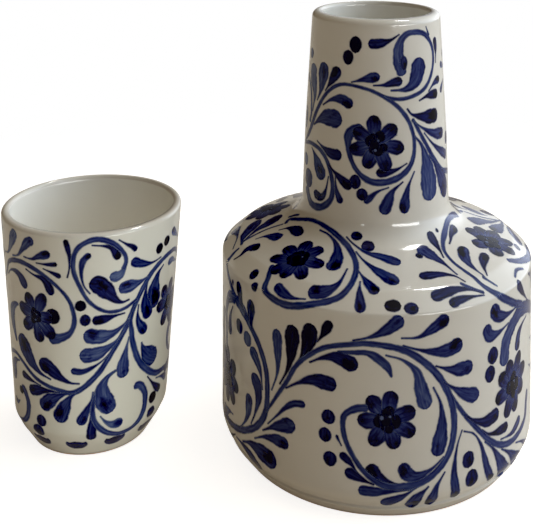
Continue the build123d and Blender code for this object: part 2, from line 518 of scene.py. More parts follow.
def paint_shoulder(brush):
    # the scroll round the left flower
    brush.stem(
        MID, (-73.1, 112.7, 1.2), (-76.5, 109.5, 1.8), (-65, 105.2, 1.4), (-52.5, 102.4, 1.3),
        (-40, 102.3, 1.5), (-27, 104.8, 2), (-16, 110, 2.3), (-9.5, 119, 2), (-8.6, 129.5, 2.2),
        (-12, 139.5, 2.4), (-21.5, 145.5, 2.5), (-31, 148.6, 2.8), (-40, 146.2, 2.4),
        (-42.5, 139.5, 2.2), (-45, 133.5, 2),
    )
    # the scroll from the right, over the creases and down on to the wall
    brush.stem(
        MID, (90, 106.3, 2.8), (77, 103.3, 2.5), (64.8, 103.3, 2.4), (53.5, 106.9, 2.5),
        (45.4, 111, 1.6), (40.4, 116.3, 1.2), (39.1, 123.6, 1.1), (40.5, 132, 1.4), (42, 139, 1.6),
        (46, 145.8, 2.8), (51, 150.3, 3), (57, 154.7, 3), (63, 158, 3.2),
    )
    brush.stem(MID, (64.8, 136.3, 1.5), (72.5, 141.3, 2.6), (83, 145.3, 2.8), (94, 145.8, 2.8))
    # the node at the left and the stem that runs down from it
    brush.stem(MID, (-74, 113.5, 0.8), (-75.5, 122, 0.9), (-73, 134, 1), (-70.5, 136.5, 0.8))
    brush.stem(
        MID, (-69.8, 138, 1), (-69.6, 142, 1.6), (-66.5, 150, 3), (-60.5, 156, 2.8), (-57.5, 158.5, 4)
    )
    brush.stem(MID, (-71, 104.3, 0.4), (-77, 106.5, 1), (-81.5, 110, 1.2))
    brush.stem(MID, (60, 143.8, 0.5), (63.5, 142.2, 1), (66, 142.4, 1), (69.4, 144.1, 0.5))
    brush.stem(MID, (44.8, 136.3, 1), (48.5, 142.8, 0.4))
    brush.stem(MID, (33.5, 135.8, 0.8), (36, 138.5, 1), (41, 143, 1))
    for leaf in (
        (6.4, MID, (-41, 105), (-33, 105.6), (-26, 108.3), (-21.5, 113), (-19.3, 120), (-20, 126.3)),
        (6.2, MID, (-12.5, 123.5), (-14, 133.5), (-18, 138.5), (-24, 140.3)),
        (4.3, MID, (-23.8, 143.8), (-29, 144.8), (-34, 143.5), (-37.3, 141.3)),
        (5.6, DARK, (-68.7, 117), (-66, 112.5), (-60, 110.8), (-51.3, 111.3)),
        (6.0, MID, (-70, 129), (-68.8, 124.5), (-65, 121), (-59.5, 119.3)),
        (6.0, DARK, (-65.7, 143), (-64.5, 139), (-64.5, 134), (-61.8, 129.5)),
        (7.0, MID, (-71.5, 136), (-79, 127), (-83, 120), (-90, 114)),
        (6.5, MID, (-71, 136.5), (-78, 133.5), (-84, 129.5), (-92, 126)),
        (5.5, PALE, (-73, 141), (-79, 137.5), (-85, 137.5), (-93, 140)),
        (4.8, MID, (-19.5, 104.8), (-12, 108.5), (-4, 112.2), (4, 114.5), (12.8, 118.8)),
        (6.0, MID, (-11, 111.8), (-6, 117), (-1, 121.5), (4, 126), (9.3, 131.3)),
        (4.6, MID, (-7.5, 124), (-4.5, 128.5), (-2, 132.5), (1, 137)),
        (4.3, MID, (-5.8, 130.5), (-5.6, 136), (-5, 141), (-4.7, 146)),
        (6.6, MID, (35.4, 131), (34, 123), (31, 116), (27.6, 109.6)),
        (4.4, DARK, (36.5, 119.5), (38.8, 113.5), (41, 103.8)),
        (3.7, DARK, (48.2, 113.2), (53, 111.2), (58, 109), (69, 107.2)),
        (5.5, MID, (45.7, 137), (45.3, 130), (46.5, 124.5), (50, 120.5), (54.8, 118.3)),
        (4.2, DARK, (47.3, 136.8), (50, 132.5), (54, 129.3), (60.3, 126.8)),
        (4.3, DARK, (36, 136), (33.5, 131), (27.5, 128.3), (18.8, 128)),
        (4.4, DARK, (41, 143), (36, 139.8), (30, 138.2), (20, 139.8)),
        (3.6, DARK, (40.5, 144), (35, 143), (30, 143), (25.7, 144.3)),
    ):
        brush.leaf(*leaf)
    for dot in (
        (-49.4, 141.9, 5, 4.8, DARK), (-45.5, 146.6, 4.3, 3.6, DARK), (-12.5, 103.8, 5.4, 3.6, DARK),
        (-4.4, 108.3, 6.2, 5.5, DARK), (6, 142.4, 7.2, 5, BLACK), (12.1, 143.8, 6.4, 4.7, DARK),
        (24.4, 115.2, 3.5, 3.2, DARK), (47.9, 104.5, 1.3, 2, DARK), (81.6, 138, 5, 3.6, DARK),
    ):
        brush.dot(*dot)
    brush.flower(
        -37.5, 124.7,
        ((109, 9.4), (57, 9.3), (2, 10.1), (-48, 10.4), (-86, 9.4), (-112, 10), (-153, 9.8), (162, 9.2)),
        6.6,
    )
    brush.flower(
        72.9, 124.7, ((156, 8.3), (74, 9.3), (31, 11), (-5, 11), (-45, 10.2), (-88, 9.2), (-142, 8)), 7
    )


def paint_wall_left(brush):
    # the scroll down the left, and its twin on the far side of the node
    brush.stem(
        MID, (-58, 158, 4.5), (-52.5, 160.5, 5), (-48.5, 164.5, 3), (-43, 171.3, 2.8),
        (-39.3, 180.7, 2.6), (-38.5, 191.3, 2.5), (-39.5, 200.7, 2.6), (-43.5, 208.7, 2.6),
        (-50, 214.7, 2.6), (-57, 218.3, 2.6), (-66, 220.5, 2.5),
    )
    brush.stem(
        MID, (-58, 158.5, 4.5), (-63, 160, 5), (-66, 163, 4), (-68, 169, 3), (-68, 175, 2.6),
        (-67.5, 182, 2.4),
    )
    # the great scroll across the front, curling up under the flower
    brush.stem(
        MID, (-39, 200, 0.5), (-34, 190, 1.2), (-30, 182, 1.5), (-26.5, 174, 1.6), (-22, 168, 1.6),
        (-16, 162.7, 1.7), (-8, 159.9, 1.8), (-1, 158.9, 2), (9, 161.3, 2.4), (16.5, 167.7, 2.6),
        (22, 176, 2.6), (25.5, 185.3, 2.6), (26.8, 195.3, 2.6), (25.8, 205.3, 2.5),
        (22.5, 212.7, 2.4), (17, 218, 2.6), (10.5, 220.1, 3), (4, 219.7, 2.4), (-1.5, 216, 1.8),
        (-6, 209.3, 1.6), (-9.5, 200, 1.7), (-9.8, 191.3, 2), (-6, 187.3, 2.7), (-2, 186.5, 3),
    )
    for leaf in (
        (4.8, MID, (-60.5, 163.3), (-62.8, 168.5), (-63.5, 173), (-63.8, 178.3)),
        (4.8, DARK, (-50, 162.5), (-53.5, 157.5), (-56, 149)),
        (5.6, DARK, (-46.5, 168), (-47.2, 162), (-47.3, 153.3)),
        (5.0, SOFT, (-40.8, 191), (-42, 183.5), (-44.5, 178.5), (-47.3, 175)),
        (6.0, MID, (-47, 210), (-44.8, 204), (-43, 196.5), (-43.5, 191), (-46, 186)),
        (5.0, SOFT, (-54, 216), (-51, 211.5), (-49, 206.5), (-48, 197)),
        (5.0, PALE, (-60, 214), (-64, 215), (-68, 217.5), (-72, 218)),
        (3.4, DARK, (-58, 222), (-63, 226), (-70, 231)),
        (4.9, SOFT, (-36.5, 189), (-34.2, 181), (-33.8, 173), (-34.3, 160.7)),
        (7.0, BLACK, (-33, 184.7), (-30, 177.5), (-28.5, 170), (-27.8, 156.5)),
        (7.0, BLACK, (-26.5, 174), (-23.8, 168), (-22, 162), (-21, 153.7)),
        (4.0, BLACK, (-18.8, 161), (-16.5, 156.5), (-14.2, 151)),
        (6.2, DARK, (-21.5, 170.7), (-17, 167.5), (-12, 166.3), (-5.3, 169.3)),
        (6.2, DARK, (-30.5, 185.3), (-25.5, 181), (-20, 178), (-12.2, 178.3)),
        (2.6, MID, (-38.3, 205), (-34, 199), (-30.5, 194), (-27, 190.8), (-23, 189.7)),
        (6.0, MID, (-40.8, 209.3), (-36, 205.3), (-31, 202.3), (-26.8, 200)),
        (5.2, MID, (-45, 215.3), (-40, 211.8), (-35, 210.3), (-29.3, 210)),
        (8.0, MID, (-52.3, 221.3), (-47.5, 219.2), (-42, 219.5), (-34.3, 221)),
        (6.5, MID, (-57, 222.5), (-52, 223), (-48, 225), (-43.5, 230.5)),
        (3.2, DARK, (-5.3, 214.8), (-7.5, 211), (-10.9, 207.2)),
        (4.2, DARK, (0, 219.3), (-4, 217.3), (-9.3, 214.3)),
        (0.8, MID, (-10.5, 204), (-11.5, 201.6), (-12.2, 199.7)),
    ):
        brush.leaf(*leaf)
    # a crescent that is thin at both ends
    brush.stem(
        MID, (-12, 163.7, 0.6), (-7, 163.2, 1.4), (-2.5, 162.9, 2), (1, 165, 3.4), (4, 168.5, 2.8),
        (5.5, 173, 0.5),
    )
    for dot in (
        (-54.9, 169.5, 6, 6.7, DARK), (-49.3, 172.3, 6, 6.7, SOFT), (-60.5, 152, 1.5, 2.5, DARK),
        (-14.9, 192.5, 5.7, 6.3, DARK), (-16, 200.5, 5.2, 6.3, DARK), (-14.3, 210.5, 5.5, 6.5, DARK),
    ):
        brush.dot(*dot)
    around = (94, 42, -6, -51, -98, -145, 170, 135)
    brush.flower(-65.5, 198.5, [(turn, 9.6) for turn in around], 6.5)


def paint_wall_right(brush):
    # a branch of the great scroll, and the broad arc that comes down from the shoulder
    brush.stem(
        MID, (24, 180.5, 1), (30, 192, 1.5), (36.5, 202, 1.8), (44, 211.3, 2.2), (52, 215.7, 2.4),
        (60, 215.7, 2.5), (66.5, 212.6, 3), (68, 206.5, 3.4), (69.5, 201.3, 3),
    )
    brush.stem(
        MID, (49.5, 179.5, 6.5), (50, 172, 7), (51.5, 167.5, 7), (55.5, 162.8, 6.4),
        (61, 160.2, 6.2), (69, 162, 5.4), (77, 166.7, 5), (92, 174, 4.5),
    )
    for leaf in (
        (5.5, DARK, (14.5, 219.7), (8, 219.8), (2.5, 217.5), (-0.2, 214), (-1.3, 210.5)),
        (4.2, MID, (12, 221.5), (6, 222), (0, 222.3), (-5, 222)),
        (5.0, MID, (13.5, 221), (8.5, 225), (2.3, 229)),
        (6.0, MID, (17.8, 221), (14, 226), (12, 232.5)),
        (4.8, MID, (23.5, 216), (20.5, 222), (19.3, 228), (19.2, 232.5)),
        (5.5, MID, (23, 209.3), (19, 213.5), (14, 216), (10.5, 214.5), (9, 210)),
        (6.6, MID, (19.2, 178.5), (21.8, 186), (22.4, 194), (21.8, 201), (20.5, 208.5)),
        (6.2, SOFT, (3.5, 163.5), (9, 165.7), (13.5, 171), (15, 178), (17, 187.5)),
        (5.4, MID, (-7, 158), (-1, 155.8), (4, 152.5), (9, 147.5)),
        (5.2, MID, (8.5, 156.3), (14, 156.3), (18.5, 153.5), (24.5, 149)),
        (6.0, MID, (9, 159.5), (15, 162), (21, 163.5), (26, 163), (29.5, 160.5)),
        (6.0, MID, (20, 169.5), (25, 172), (29.5, 173), (34, 172.8)),
        (6.0, MID, (23, 177), (27, 181), (31.5, 184.5), (36.7, 187)),
        (5.8, DARK, (30, 192.5), (34.5, 197), (40, 199.8), (46.5, 198.5)),
        (4.0, MID, (29.8, 199.7), (28, 206), (27, 214), (27, 221), (28.5, 231)),
        (3.6, MID, (30.5, 200.5), (34.5, 203), (37.5, 208.5), (39.5, 216), (41, 222), (43.8, 228.5)),
        (4.2, DARK, (38, 202.7), (42.5, 206.5), (51.8, 207.5)),
        (3.6, MID, (47.5, 211.5), (54, 212.5), (58, 211), (61, 208.7)),
        (7.0, MID, (39.5, 208.5), (43.5, 213.5), (47, 220.5), (50, 227), (54, 232)),
        (7.0, MID, (48, 216), (53, 220.5), (58.5, 227), (65, 232)),
        (4.0, MID, (57.5, 218.7), (63, 221.5), (69, 226.5), (77, 231)),
        (6.0, MID, (59, 156.3), (52, 157), (46, 155.5), (42.8, 149.7)),
        (5.5, MID, (52, 161.2), (46, 163), (41.5, 162.5), (39.8, 157.3)),
        (4.0, DARK, (69.5, 159.5), (65, 154.5), (61.5, 150), (58.8, 146)),
        (4.8, MID, (68, 165.7), (63, 167), (59.5, 170.5), (58.3, 177)),
        (9.0, MID, (70.5, 147.5), (78, 152), (86, 160)),
        (3.5, PALE, (73.5, 179.5), (81, 184), (88, 188)),
        (5.0, PALE, (72, 191.5), (80, 197), (88, 203)),
    ):
        brush.leaf(*leaf)
    for dot in (
        (32.4, 213.5, 6, 7.3, DARK), (33.9, 222.3, 6.3, 8, DARK), (43.3, 172, 6.4, 7.7, DARK),
        (41.9, 179.7, 6, 7.5, DARK),
    ):
        brush.dot(*dot)
    brush.flower(
        4.2, 191.3,
        ((81, 8.7), (129, 9), (182, 9), (237, 9.2), (-75, 9), (-29, 9.6), (17, 8.8)), 6.6,
    )
    brush.flower(
        55, 190.7,
        ((57, 11), (14, 11.3), (-27, 9), (-78, 9.5), (-115, 10.2), (189, 10.2), (145, 10), (107, 9)),
        6.5,
    )


def paint_wall_side(brush):
    """Joins the right edge of the pattern to the left edge of its turned copy."""
    brush.stem(
        MID, (90.5, 173.3, 4.4), (99, 178.5, 3.6), (105, 184.5, 2.4), (107.5, 191, 1.4), (107, 198, 0.6)
    )
    brush.stem(
        MID, (112.5, 180, 2.4), (112, 190, 2.4), (108.5, 197, 2.3), (102, 201.5, 2.4), (95.5, 201, 3),
        (92, 196.5, 4), (93.5, 191.5, 3.4),
    )
    brush.stem(
        MID, (116, 219.9, 2.5), (107, 220.8, 2.4), (100, 218.5, 2.4), (95, 213.5, 2.8), (95.5, 208.5, 3.6)
    )
    for leaf in (
        (4.0, DARK, (109.5, 193), (104.5, 193.5), (100, 190.5)),
        (4.6, MID, (101.5, 180), (98, 184), (92, 185.5)),
        (4.4, MID, (99, 202.5), (93, 205), (87.5, 204.5)),
        (3.8, DARK, (103, 219.8), (98.5, 223.5), (92.5, 223.5)),
        (4.8, MID, (108.5, 221.2), (104.5, 226), (99, 230.5)),
        (4.0, MID, (112, 189), (107.5, 184), (107, 176), (108.5, 170)),
        (4.4, MID, (105.5, 219.5), (103.5, 214.5), (105, 208.5)),
    ):
        brush.leaf(*leaf)
    for dot in ((87.5, 212.5, 5, 5.6, DARK), (100.5, 172, 4.6, 5.6, DARK), (102.5, 165, 4.2, 5, DARK)):
        brush.dot(*dot)


def paint_tumbler(brush):
    # the branch round the left flower
    brush.stem(
        MID, (-89, 25.5, 1.6), (-79, 30.5, 1.6), (-68, 34.5, 1.5), (-56.4, 29.7, 1.4),
        (-50.5, 23.3, 1.5), (-40.9, 20.1, 1.8), (-30.5, 19.5, 1.8),
        (-18.6, 21.8, 1.6), (-7.3, 26.9, 1.1), (1.4, 34.1, 1.3), (4.7, 43.2, 1.7), (1.8, 49.7, 2.2),
        (-5.9, 52.6, 4.2), (-13, 53.2, 4.8),
    )
    # the main stem, from the right node down to the left
    brush.stem(
        MID, (91, 25.5, 1.6), (82.3, 23.2, 1.8), (68.6, 23.7, 2), (55.9, 28.4, 2.4),
        (45.9, 38.6, 2.2), (38.6, 50, 2.2), (29.5, 60.6, 2), (18.6, 71.2, 2.2), (5, 78.4, 2),
        (-7.7, 77.7, 1.4), (-24, 74.6, 1.3), (-38.6, 69.1, 1.4), (-49.5, 67.4, 1.4), (-66, 71.6, 1.6),
        (-79, 75.5, 1.8), (-90, 75, 2), (-96, 69.5, 2.6), (-94.5, 62.5, 3.6), (-88.5, 61.5, 3),
    )
    brush.stem(
        MID, (45.5, 40, 0.5), (42.8, 44.5, 0.9), (41.8, 48.5, 1.4), (42.7, 53, 2), (44.1, 59.1, 2.4),
        (49.5, 68.9, 2.6), (57.7, 75.8, 2.6), (68.6, 80.7, 2.4), (82, 82.3, 2), (94, 85.5, 1.8),
        (99, 90.5, 1.6), (100, 96, 1.6),
    )
    # the ring at the top with a drop inside
    brush.stem(
        MID, (45.9, 37.9, 0.9), (35.9, 40.9, 1.1), (25, 40.5, 1.1), (15, 35.6, 1.2), (8.6, 28, 1.4),
        (4.2, 18.5, 1.7), (6.5, 9.5, 1.8), (16.4, 5.2, 2), (26.8, 7.2, 2.1), (35, 13.3, 1.5),
        (36.8, 18, 1.5), (35, 21.5, 2.2),
    )
    # the spiral at the bottom, ending in a hook
    brush.stem(
        MID, (32.3, 70.1, 0.7), (22.3, 75, 1.1), (17.3, 83.3, 1.5), (17.3, 92.4, 1.9),
        (25, 99.2, 2.2), (36.8, 103, 2.4), (48.6, 101.5, 2.5), (56.4, 95.5, 2.6), (57.3, 87.9, 2.8),
        (52.3, 82.2, 3), (46.5, 81, 3.4),
    )
    brush.stem(
        MID, (-41.8, 83.3, 2.6), (-38.2, 83.2, 2.9), (-34, 89, 2.8), (-36.5, 96, 2.4),
        (-44, 99.8, 1.7), (-57, 101, 1.4), (-70, 99.5, 1.6), (-80, 96, 1.8),
    )
    brush.stem(
        SOFT, (-39.5, 41.3, 0.5), (-44, 42.5, 2.4), (-49, 46, 4.8), (-50, 51, 5), (-48, 56, 3.4),
        (-45, 61, 1),
    )
    for leaf in (
        (5.2, PALE, (-56.4, 19.7), (-50, 18.2), (-45.9, 14.4), (-41.8, 9.1), (-37.8, 5.3)),
        (4.2, SOFT, (-43.2, 18.2), (-36.8, 16.7), (-31.4, 12.5), (-26.8, 8.7), (-22, 7.2)),
        (3.6, MID, (-30.9, 16.3), (-24.1, 16.3), (-18.6, 14.4), (-10.4, 12.1)),
        (1.7, DARK, (-20.5, 17.7), (-13.2, 17.6), (-5.9, 17)),
        (1.9, DARK, (-15.5, 19.8), (-9.5, 21.2), (-3.6, 22.9)),
        (4.4, MID, (-52.3, 29.5), (-47.7, 26.5), (-41.4, 25.4), (-35.9, 26.5), (-29.5, 31.4)),
        (3.8, DARK, (-29.5, 22), (-22.3, 23.9), (-16.8, 24.6), (-12.7, 27.3), (-9.5, 32)),
        (2.1, DARK, (0.5, 23.1), (1.9, 18.5), (2, 13.5), (1, 9), (-0.6, 4.9)),
        (8.4, MID, (-12.3, 73.2), (-20.5, 71.2), (-26.8, 68), (-32.5, 63.3), (-40, 56)),
        (6.6, DARK, (7.7, 74.4), (1.4, 73.9), (-5.9, 71.4), (-13, 67.8), (-21, 65)),
        (2.6, MID, (27.3, 61.4), (22.3, 64.4), (16.8, 66.7), (9.5, 68.6), (2.1, 67.9)),
        (4.4, PALE, (36.8, 17), (35.8, 21), (32.5, 24), (26.5, 24)),
        (2.6, MID, (14.5, 31), (10.9, 27.3), (9.3, 22.7), (9.3, 18.2), (10.5, 14.8), (14.6, 11.8)),
        (3.2, DARK, (15.5, 7.8), (23.2, 8.7), (27.7, 10.2), (30, 12.9), (32.3, 16)),
        (8.0, DARK, (40, 37), (35, 37.4), (30.5, 35.4), (26, 31.5), (20, 27.2), (14, 26)),
        (2.2, DARK, (31.8, 6.7), (36.8, 9.5), (41.4, 11.7), (43.8, 13.8)),
        (4.0, MID, (65.5, 22), (59.5, 22.6), (54, 22.4), (47, 20.8), (40.5, 18.2)),
        (5.8, SOFT, (54, 28.6), (48, 29.9), (41, 30.4), (32.5, 30.4)),
        (4.2, DARK, (37.3, 43), (30.5, 43.3), (23.2, 44), (16, 44.2)),
        (6.8, SOFT, (41, 46), (35, 49.5), (28.6, 51.7), (19.5, 52.2), (10.5, 50.4)),
        (6.6, SOFT, (36, 52.2), (31.4, 56), (25, 58.7), (16.8, 60.7), (7.8, 60.6)),
        (3.0, DARK, (-20.5, 77.3), (-27.7, 76.5), (-33, 75.8), (-39.6, 75)),
        (5.0, DARK, (-5.9, 79.2), (-13.2, 79), (-21.4, 79.7), (-32, 81.6)),
        (6.6, MID, (1.4, 78.8), (-5, 80.3), (-12.3, 83), (-21, 88.2)),
        (6.8, MID, (7, 78.4), (1.4, 81), (-3.2, 86.4), (-8, 93.6)),
        (4.2, MID, (16.8, 78.8), (15.9, 82.6), (13, 87), (7.4, 94.6)),
        (4.2, DARK, (16.8, 82), (16.2, 90), (16, 95.5), (15.6, 103.4)),
        (5.8, SOFT, (41, 55.3), (39.5, 60), (38, 65), (37.2, 70), (38, 74.8)),
        (8.2, SOFT, (34.5, 70.2), (29, 71.2), (25, 74), (23, 78), (25, 84.5), (30.5, 90)),
        (3.8, PALE, (21.8, 91.3), (26, 94.7), (31.4, 96.6), (38.4, 96)),
        (3.4, DARK, (58.6, 79.5), (64, 84), (69.5, 87.9), (75.6, 90.9)),
        (3.0, SOFT, (68.6, 83.3), (77.7, 85.2), (86.8, 88.6)),
        (8.8, MID, (51.4, 60.6), (53, 64), (57, 67.5), (61, 70), (67.5, 72.4)),
        (4.4, MID, (47.3, 41), (46.8, 46), (48.5, 50.5), (54.5, 56.4)),
        (8.8, MID, (69, 26.8), (63.8, 29.5), (61, 34), (60.3, 39.5), (62.5, 46)),
        (6.0, MID, (54, 31), (52.3, 37), (53, 42.5), (57, 49.6)),
        (6.5, SOFT, (-42.3, 69.7), (-48.6, 71.2), (-53, 75), (-54.5, 81.8)),
        (2.6, PALE, (-46, 90.5), (-50, 92.3), (-56, 92.2)),
        (4.5, PALE, (-86, 16), (-74, 11.5), (-66, 9), (-59, 7.8)),
        (5.0, PALE, (-84, 28), (-74, 25), (-66, 21.5), (-59, 20.5)),
        (3.5, PALE, (95, 20), (88, 17), (82, 14), (77.5, 12)),
        (3.0, PALE, (95, 32), (88, 30), (82, 28), (75, 27.8)),
        (4.6, MID, (-70, 34), (-77, 39), (-86, 41.5)),
        (4.2, DARK, (-62, 33), (-67, 40), (-74, 46.5)),
        (4.4, MID, (-84, 76.5), (-90, 82), (-98, 84)),
        (4.0, DARK, (-74, 75), (-79, 82), (-86, 87)),
    ):
        brush.leaf(*leaf)
    for dot in (
        (-9.7, 42.3, 6.9, 7.4, BLACK), (8.6, 36.6, 4.9, 5.2, BLACK), (11.5, 43.6, 4.4, 5.6, DARK),
        (63.2, 17.3, 5.2, 4.5, BLACK), (71.1, 15.5, 5.2, 4.4, BLACK), (65.9, 92, 5.6, 5.2, BLACK),
        (65, 99.2, 5.9, 4.9, DARK), (-42.5, 84.3, 3.4, 3.8, BLACK), (-21.6, 94.7, 5.2, 5.7, DARK),
        (-25, 100.4, 6.2, 6.4, DARK), (-85, 51, 5, 5.6, DARK), (-93, 53.5, 4.6, 5.2, DARK),
    ):
        brush.dot(*dot)
    left = ((118, 7.7), (66, 8.7), (166, 8), (221, 7.4), (278, 8.6), (317, 9.6), (0, 5))
    right = ((121, 7.9), (170, 7), (242, 7), (69, 7.7), (-63, 9.2), (10, 8), (-25, 8.4))
    for angle, run, petals in ((-22.3, 43.6, left), (79, 48.5, right)):
        brush.flower(angle, run, petals, 5.8, 0.62)


def paint_tumbler_foot(brush):
    """Half moons hanging from the crease above the foot, evenly round."""
    crease, tall, count = 104.6, 5.6, 12
    for i in range(count):
        angle = 4.4 + i * 360 / count
        across = np.linspace(-1, 1, 31)
        drop = tall * np.sqrt(np.maximum(0, 1 - across**2))
        line = np.stack((angle + 7.2 * across, crease + drop / 2, drop), 1)
        brush.stroke(line, DARK, puddle=0.5, pool_at=0.4)


# ---------------------------------------------------------------- materials


def node(tree, kind, inputs=None, **settings):
    """Adds a node, sets its settings, then sets or links its inputs."""
    made = tree.nodes.new(kind)
    for name, value in settings.items():
        setattr(made, name, value)
    for name, value in (inputs or {}).items():
        if isinstance(value, bpy.types.NodeSocket):
            tree.links.new(value, made.inputs[name])
        else:
            made.inputs[name].default_value = value
    return made


def math_node(tree, operation, *values, clamp=False):
    inputs = dict(enumerate(values))
    return node(tree, "ShaderNodeMath", inputs, operation=operation, use_clamp=clamp).outputs[0]


def fade_node(tree, value, low, high, start=0.0, end=1.0):
    """A soft step: start where value is at low, end where it is at high."""
    inputs = {"Value": value, "From Min": low, "From Max": high, "To Min": start, "To Max": end}
    return node(tree, "ShaderNodeMapRange", inputs, interpolation_type="SMOOTHSTEP").outputs[0]


def mix_node(tree, share, first, second):
    made = node(tree, "ShaderNodeMix", {"Factor": share}, data_type="RGBA")
    for socket, value in ((made.inputs[6], first), (made.inputs[7], second)):
        if isinstance(value, bpy.types.NodeSocket):
            tree.links.new(value, socket)
        else:
            socket.default_value = (*value, 1)
    return made.outputs[2]


def noise_node(tree, where, scale, detail):
    inputs = {"Vector": where, "Scale": scale, "Detail": detail}
    return node(tree, "ShaderNodeTexNoise", inputs).outputs["Fac"]


def attribute(tree, name):
    return node(tree, "ShaderNodeAttribute", attribute_name=name).outputs["Fac"]


def new_material(name):
    material = bpy.data.materials.new(name)
    material.use_nodes = True
    material.node_tree.nodes.clear()
    return material, material.node_tree


def skin(tree):
    """The glaze's own surface, shared by bare and painted glaze: its roughness and its normal."""
    where = node(tree, "ShaderNodeTexCoord").outputs["Object"]
    swell = noise_node(tree, where, 34, 1)
    ripple = noise_node(tree, where, 150, 2)
    peel = noise_node(tree, where, 1100, 2)
    height = math_node(tree, "MULTIPLY_ADD", swell, 0.00022, math_node(tree, "MULTIPLY", ripple, 0.00002))
    height = math_node(tree, "MULTIPLY_ADD", peel, 0.0000012, height)
    bump = node(tree, "ShaderNodeBump", {"Height": height, "Strength": 1.0, "Distance": 1.0})
    rough = fade_node(tree, noise_node(tree, where, 60, 3), 0.3, 0.7, 0.07, 0.13)
    return where, rough, bump.outputs["Normal"]


def glaze(name, pot, lip_tan):
    """White tin glaze over buff clay, with small specks and bare at the foot's edge.

    Where it runs thin at the lip it turns tan by the share lip_tan."""
    material, tree = new_material(name)
    where, rough, normal = skin(tree)
    cloud = noise_node(tree, where, 22, 3)
    colour = mix_node(tree, cloud, (0.82, 0.755, 0.64), (0.76, 0.70, 0.595))
    # inside, where the surface faces the axis, the glaze is coloured whiter: painted light, standing in for
    # the brighter light that falls inside the pots
    middle = {0: where, 1: pot.centre}
    from_axis = node(tree, "ShaderNodeVectorMath", middle, operation="SUBTRACT").outputs[0]
    faces = node(tree, "ShaderNodeNewGeometry").outputs["Normal"]
    outwards = node(tree, "ShaderNodeVectorMath", {0: from_axis, 1: faces}, operation="DOT_PRODUCT")
    inside_painted_light = fade_node(tree, outwards.outputs["Value"], -0.004, 0.0, 1.0, 0.0)
    colour = mix_node(tree, inside_painted_light, colour, (0.96, 0.92, 0.82))
    # iron specks in the glaze, a few tenths of a millimetre wide
    cells = node(tree, "ShaderNodeTexVoronoi", {"Vector": where, "Scale": 95.0})
    pick = node(tree, "ShaderNodeSeparateColor", {"Color": cells.outputs["Color"]}).outputs[0]
    size = fade_node(tree, pick, 0.72, 1.0, 0.0, 0.045)
    speck = math_node(tree, "LESS_THAN", cells.outputs["Distance"], size)
    colour = mix_node(tree, math_node(tree, "MULTIPLY", speck, 0.45), colour, (0.25, 0.22, 0.20))
    height = node(tree, "ShaderNodeSeparateXYZ", {"Vector": where}).outputs["Z"]
    drift = math_node(tree, "MULTIPLY", noise_node(tree, where, 160, 3), 0.0022)
    above = math_node(tree, "ADD", height, drift)
    thin = fade_node(tree, above, (pot.height - 1.3) * MM, (pot.height + 1.3) * MM, 0.0, lip_tan)
    colour = mix_node(tree, thin, colour, (0.52, 0.43, 0.33))
    # the glaze is wiped off where the foot stands
    bare = fade_node(tree, above, 1.2 * MM, 2.0 * MM, 1.0, 0.0)
    clay_grain = noise_node(tree, where, 900, 4)
    clay = mix_node(tree, clay_grain, (0.62, 0.38, 0.19), (0.74, 0.50, 0.28))
    colour = mix_node(tree, bare, colour, clay)
    rough = math_node(tree, "MULTIPLY_ADD", bare, 0.6, rough)
    shader = node(
        tree, "ShaderNodeBsdfPrincipled",
        {"Base Color": colour, "Roughness": rough, "Normal": normal, "IOR": 1.5},
    )
    node(tree, "ShaderNodeOutputMaterial", {"Surface": shader.outputs[0]})
    return material


